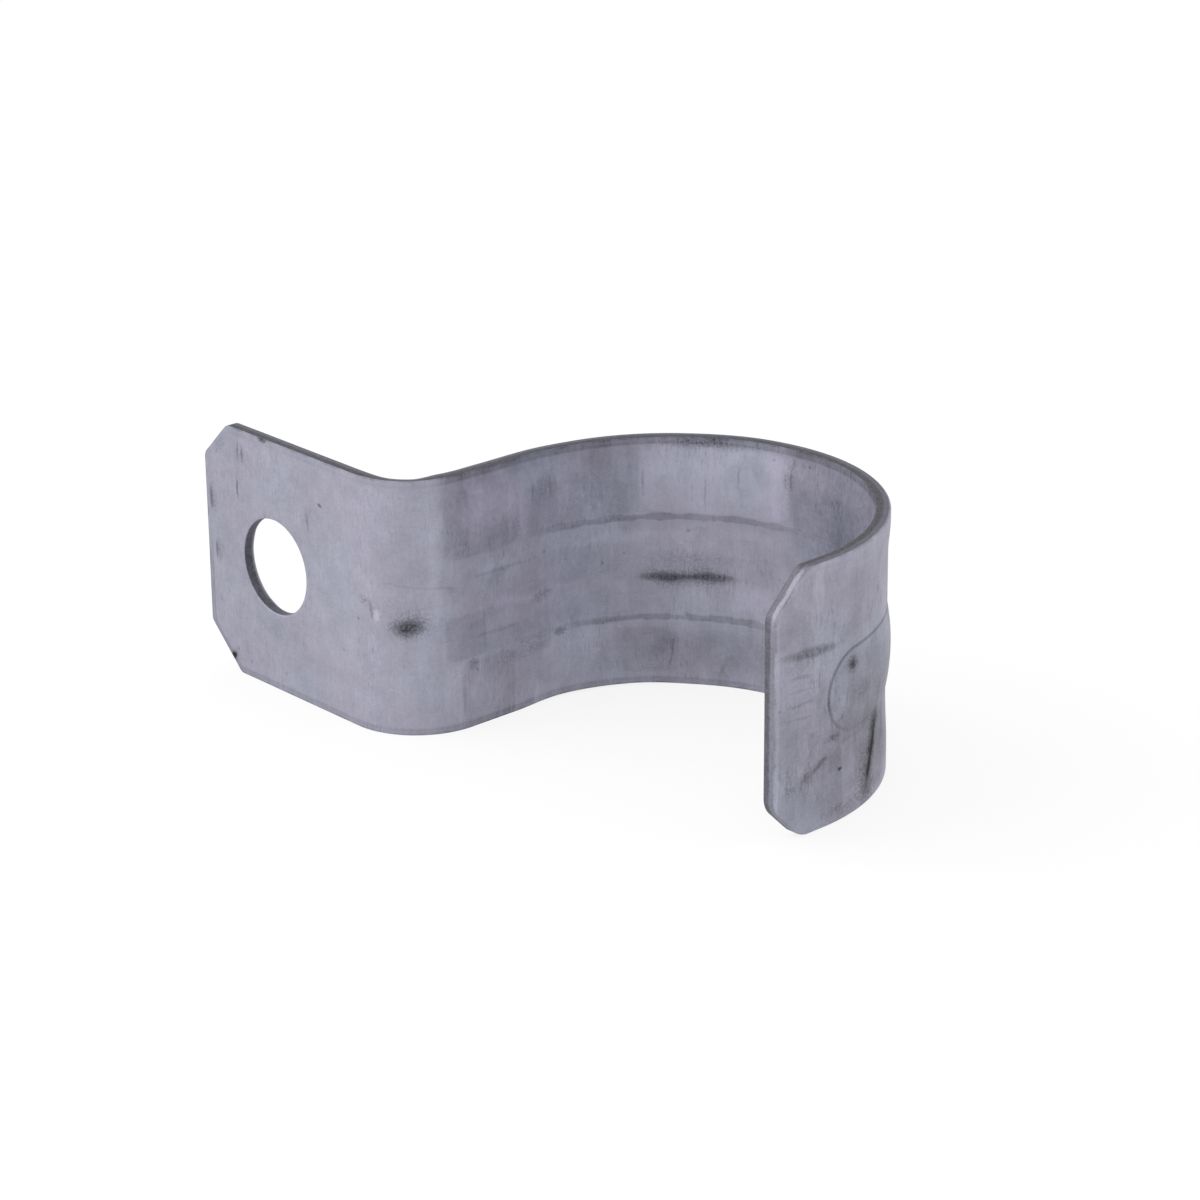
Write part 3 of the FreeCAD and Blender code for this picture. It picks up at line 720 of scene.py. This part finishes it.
    # inside, a darker line lies along them, wider and narrower in places, most of all where the conduit
    # sits
    (gatherFrom, gatherTo), (fadeFrom, fadeTo) = crease["gather"], crease["fade"]
    seatFrom = addNode(tree, "MapRange", {"From Min": gatherFrom, "From Max": gatherTo}, {"Value": along})
    seatTo = addNode(tree, "MapRange", {"From Min": fadeFrom, "From Max": fadeTo, "To Min": 1.0,
                                          "To Max": crease["faded"]}, {"Value": along})
    alongSeat = addNode(tree, "Math", {"operation": "MULTIPLY"}, {0: seatFrom, 1: seatTo})
    away = addNode(tree, "Math", {"operation": "ABSOLUTE"}, {0: overGroove})
    wider, narrower = crease["insideSwing"]
    widthSwing = addNode(tree, "MapRange", {"From Min": 0.35, "From Max": 0.6, "To Min": wider,
                                         "To Max": narrower}, {"Value": drawn["patches"]})
    away = addNode(tree, "Math", {"operation": "ADD"}, {0: away, 1: widthSwing})
    tone = changeTone(tone, away, *crease["insideReach"], crease["inside"], 0.0, alongSeat)

    # by each cut edge lie a pressed line, a darker rim and an uneven dark brink
    fromLine = addNode(tree, "Math", {"operation": "SUBTRACT", 1: cutEdge["lineAt"]}, {0: fromEdge})
    fromLine = addNode(tree, "Math", {"operation": "ABSOLUTE"}, {0: fromLine})
    sideFrom, sideTo = cutEdge["wallSide"]
    onWallSide = addNode(tree, "MapRange", {"From Min": sideFrom, "From Max": sideTo, "To Min": 1.0,
                                            "To Max": 0.0}, {"Value": depth})
    tone = changeTone(tone, fromLine, *cutEdge["lineReach"], cutEdge["line"], 0.0, onWallSide)
    riseFrom, riseTo = cutEdge["rimRise"]
    topRim = addNode(tree, "MapRange", {"From Min": riseFrom, "From Max": riseTo,
                                        "To Min": cutEdge["rimFoot"], "To Max": cutEdge["rimNeck"]},
                     {"Value": along})
    lowRim, highRim = cutEdge["rimHeights"]
    rim = addNode(tree, "MapRange", {"From Min": lowRim, "From Max": highRim,
                                     "To Min": cutEdge["rimBelow"]}, {"Value": across, "To Max": topRim})
    rim = addNode(tree, "Math", {"operation": "MULTIPLY"}, {0: rim, 1: onWallSide})
    rimStart, rimEnd = cutEdge["rimWidth"] - cutEdge["rimSoft"], cutEdge["rimWidth"] + cutEdge["rimSoft"]
    tone = changeTone(tone, fromEdge, rimStart, rimEnd, 1.0, 0.0, rim)
    nearer, further = cutEdge["brinkUneven"]
    ragged = addNode(tree, "MapRange", {"From Min": noiseLow, "From Max": noiseHigh, "To Min": nearer,
                                        "To Max": further}, {"Value": drawn["patches"]})
    ragged = addNode(tree, "Math", {"operation": "ADD"}, {0: fromEdge, 1: ragged})
    tone = changeTone(tone, ragged, *cutEdge["brinkReach"], cutEdge["brink"], 0.0)

    # the cut itself, between the sharp edge and the drawn-in one
    (wallFrom, wallTo), (outerFrom, outerTo) = cutEdge["wallBrink"], cutEdge["outerBrink"]
    inside = addNode(tree, "MapRange", {"From Min": wallFrom, "From Max": wallTo}, {"Value": depth})
    under = addNode(tree, "MapRange", {"From Min": outerFrom, "From Max": outerTo, "To Min": 1.0,
                                       "To Max": 0.0}, {"Value": depth})
    isCut = addNode(tree, "Math", {"operation": "MULTIPLY"}, {0: inside, 1: under})
    tearDepth = swingTone(depth, drawn["patches"], cutEdge["tornUneven"])
    # the cut on the tail's end and its upper corner get painted light
    lowCorner, highCorner = cutEdge["cornerHeights"]
    tailEndLight = addNode(tree, "MapRange", {"From Min": lowCorner, "From Max": highCorner,
                                          "To Min": cutEdge["tail"], "To Max": cutEdge["corner"]},
                       {"Value": across})
    tailFrom, tailTo = (length - distance for distance in cutEdge["tailLength"])
    onTail = addNode(tree, "MapRange", {"From Min": tailFrom, "From Max": tailTo, "To Min": 1.0},
                     {"Value": along, "To Max": tailEndLight})
    tornTo, burnishedFrom = cutEdge["tearDepths"]
    cut = addNode(tree, "MapRange", {"From Min": tornTo, "From Max": burnishedFrom,
                                     "To Min": cutEdge["torn"], "To Max": cutEdge["burnished"]},
                  {"Value": tearDepth})
    cut = addNode(tree, "Math", {"operation": "MULTIPLY"}, {0: cut, 1: onTail})
    holeFrom, holeTo = cutEdge["holeFrom"]
    inHole = addNode(tree, "MapRange", {"From Min": holeFrom, "From Max": holeTo}, {"Value": fromEdge})
    wallTorn, rimFrom = cutEdge["holeDepths"]
    holeWall = addNode(tree, "MapRange", {"From Min": wallTorn, "From Max": rimFrom,
                                          "To Min": cutEdge["holeTorn"], "To Max": cutEdge["holeRim"]},
                       {"Value": tearDepth})
    cut = addNode(tree, "Mix", {"data_type": "FLOAT"}, {0: inHole, 2: cut, 3: holeWall})
    cut = swingTone(cut, drawn["crystals"], cutEdge["speckled"])
    cut = swingTone(cut, drawn["grain"], cutEdge["speckled"])
    tone = addNode(tree, "Mix", {"data_type": "FLOAT"}, {0: isCut, 2: tone, 3: cut})

    # colour, from warm to cool, darkened and lightened by the tone
    hue = addNode(tree, "TexNoise", {"Scale": 1 / zinc["hueSize"], "Detail": 2.0}, {"Vector": wavy})
    hue = addNode(tree, "Math", {"operation": "MULTIPLY_ADD", 1: -0.12}, {0: warmth, 2: hue})
    tint = addNode(tree, "ValToRGB", None, {0: hue})
    ramp = tint.color_ramp
    ramp.elements[0].position, ramp.elements[0].color = 0.36, linearColour(zinc["warm"])
    ramp.elements[1].position, ramp.elements[1].color = 0.64, linearColour(zinc["cool"])
    middleStop = ramp.elements.new(0.5)
    middleStop.color = linearColour(zinc["colour"])
    toned = addNode(tree, "VectorMath", {"operation": "SCALE"}, {0: tint, "Scale": tone})

    rough, roughSwing = zinc["roughness"], zinc["roughnessSwing"]
    shine = addNode(tree, "MapRange", {"From Min": noiseLow, "From Max": noiseHigh,
                                       "To Min": rough - roughSwing, "To Max": rough + roughSwing},
                    {"Value": drawn["crystals"]})
    shine = changeTone(shine, tone, 0.5, 0.9, zinc["dirtRoughness"], 0.0)
    height = addNode(tree, "Math", {"operation": "ADD"}, {0: drawn["grain"], 1: drawn["crystals"]})
    bump = addNode(tree, "Bump", {"Strength": zinc["bumpStrength"], "Distance": zinc["bumpHeight"] * mm},
                   {"Height": height})
    shader = addNode(tree, "BsdfPrincipled", {"Metallic": zinc["metallic"]},
                     {"Base Color": toned, "Roughness": shine, "Normal": bump})
    addNode(tree, "OutputMaterial", None, {"Surface": shader})
    print("zinc-coated steel:", len(tree.nodes), "nodes")
    return material


strapMesh.materials.append(zincCoatedSteel())


studio = {
    "floorSize": 6.0,  # m
    "floorGap": 0.02,  # mm between the strap and the floor
    "floorColour": "#f4f4f4",
    "floorWhite": 0.84,  # how much of the floor's shadow the white hides
    "skyLight": 0.95,  # what the world gives as diffuse light
    # each lamp's direction round and up in degrees, its distance and size in m, and its power in W
    "keyLight": (-45, 32, 0.7, 0.7, 3.0),
    "fillLight": (110, 35, 0.8, 0.6, 0.3),
}
camera = {
    "sensor": 36,  # mm
    "lens": 114.24,
    "azimuth": 47.88,  # degrees round the object
    "elevation": 21.49,
    "roll": -0.535,
    "distance": 359.34,  # mm, from the middle of the box
    "aside": (1.6, -1.29),  # mm, where the view is centred: right and up from that middle
}


def seenDirectly(tree):
    # 1 for what the camera meets by itself, in a mirror or through glass, and 0 for light on other things
    path = addNode(tree, "LightPath")
    seen = addNode(tree, "Math", {"operation": "MAXIMUM"},
                   {0: path.outputs["Is Camera Ray"], 1: path.outputs["Is Glossy Ray"]})
    return addNode(tree, "Math", {"operation": "MAXIMUM"},
                   {0: seen, 1: path.outputs["Is Transmission Ray"]})


def whitePaperFloor():
    # a white table: it lights as paper does, and shows white with the object's soft shadow on it
    material = bpy.data.materials.new("whitePaperFloor")
    material.use_nodes = True
    tree = material.node_tree
    tree.nodes.clear()
    seen = seenDirectly(tree)
    share = addNode(tree, "Math", {"operation": "MULTIPLY", 1: studio["floorWhite"]}, {0: seen})
    paper = addNode(tree, "BsdfDiffuse", {"Color": linearColour(studio["floorColour"])})
    white = addNode(tree, "Emission", {"Color": (1, 1, 1, 1), "Strength": 1.0})
    mixed = addNode(tree, "MixShader", None, {0: share, 1: paper, 2: white})
    addNode(tree, "OutputMaterial", None, {"Surface": mixed})
    return material


def whiteWorld():
    # a studio that is white all round, and lights the object a little less than it shows
    world = bpy.data.worlds.new("whiteStudio")
    world.use_nodes = True
    tree = world.node_tree
    tree.nodes.clear()
    sky = addNode(tree, "Background", {"Color": (1, 1, 1, 1), "Strength": studio["skyLight"]})
    white = addNode(tree, "Background", {"Color": (1, 1, 1, 1), "Strength": 1.0})
    mixed = addNode(tree, "MixShader", None, {0: seenDirectly(tree), 1: sky, 2: white})
    addNode(tree, "OutputWorld", None, {"Surface": mixed})
    bpy.context.scene.world = world


def awayFrom(azimuth, elevation):
    # the direction from the object towards a lamp or the camera, in degrees round and up
    a, e = math.radians(azimuth), math.radians(elevation)
    return Vector((math.sin(a) * math.cos(e), -math.cos(a) * math.cos(e), math.sin(e)))


def softBox(name, azimuth, elevation, distance, size, power):
    lamp = bpy.data.lights.new(name, "AREA")
    lamp.shape = "SQUARE"
    lamp.size = size
    lamp.energy = power
    box = bpy.data.objects.new(name, lamp)
    box.location = middle + distance * awayFrom(azimuth, elevation)
    box.rotation_euler = (middle - box.location).to_track_quat("-Z", "Y").to_euler()
    bpy.context.scene.collection.objects.link(box)


middle = (cadBox[0] + cadBox[1]) / 2
half = studio["floorSize"] / 2
floorCorners = [(-half, -half, 0), (half, -half, 0), (half, half, 0), (-half, half, 0)]
floorMesh = bpy.data.meshes.new("floor")
floorMesh.from_pydata(floorCorners, [], [(0, 1, 2, 3)])
floorMesh.materials.append(whitePaperFloor())
floor = bpy.data.objects.new("floor", floorMesh)
floor.location.z = cadBox[0].z - studio["floorGap"] * mm
bpy.context.scene.collection.objects.link(floor)
whiteWorld()
for lampName in ("keyLight", "fillLight"):
    softBox(lampName, *studio[lampName])

azimuth, roll = math.radians(camera["azimuth"]), math.radians(camera["roll"])
right = Vector((math.cos(azimuth), math.sin(azimuth), 0))
back = awayFrom(camera["azimuth"], camera["elevation"])
up = back.cross(right)
sideways, upwards = camera["aside"]
spot = middle + (right * sideways + up * upwards + back * camera["distance"]) * mm
xAxis = right * math.cos(roll) + up * math.sin(roll)
yAxis = up * math.cos(roll) - right * math.sin(roll)
cameraData = bpy.data.cameras.new("camera")
cameraData.sensor_width = camera["sensor"]
cameraData.lens = camera["lens"]
cameraObject = bpy.data.objects.new("camera", cameraData)
turned = Matrix((xAxis, yAxis, back)).transposed().to_4x4()
cameraObject.matrix_world = Matrix.Translation(spot) @ turned
bpy.context.scene.collection.objects.link(cameraObject)
bpy.context.scene.camera = cameraObject
bpy.context.scene.view_settings.view_transform = "Standard"
print("floor, light and camera ready")
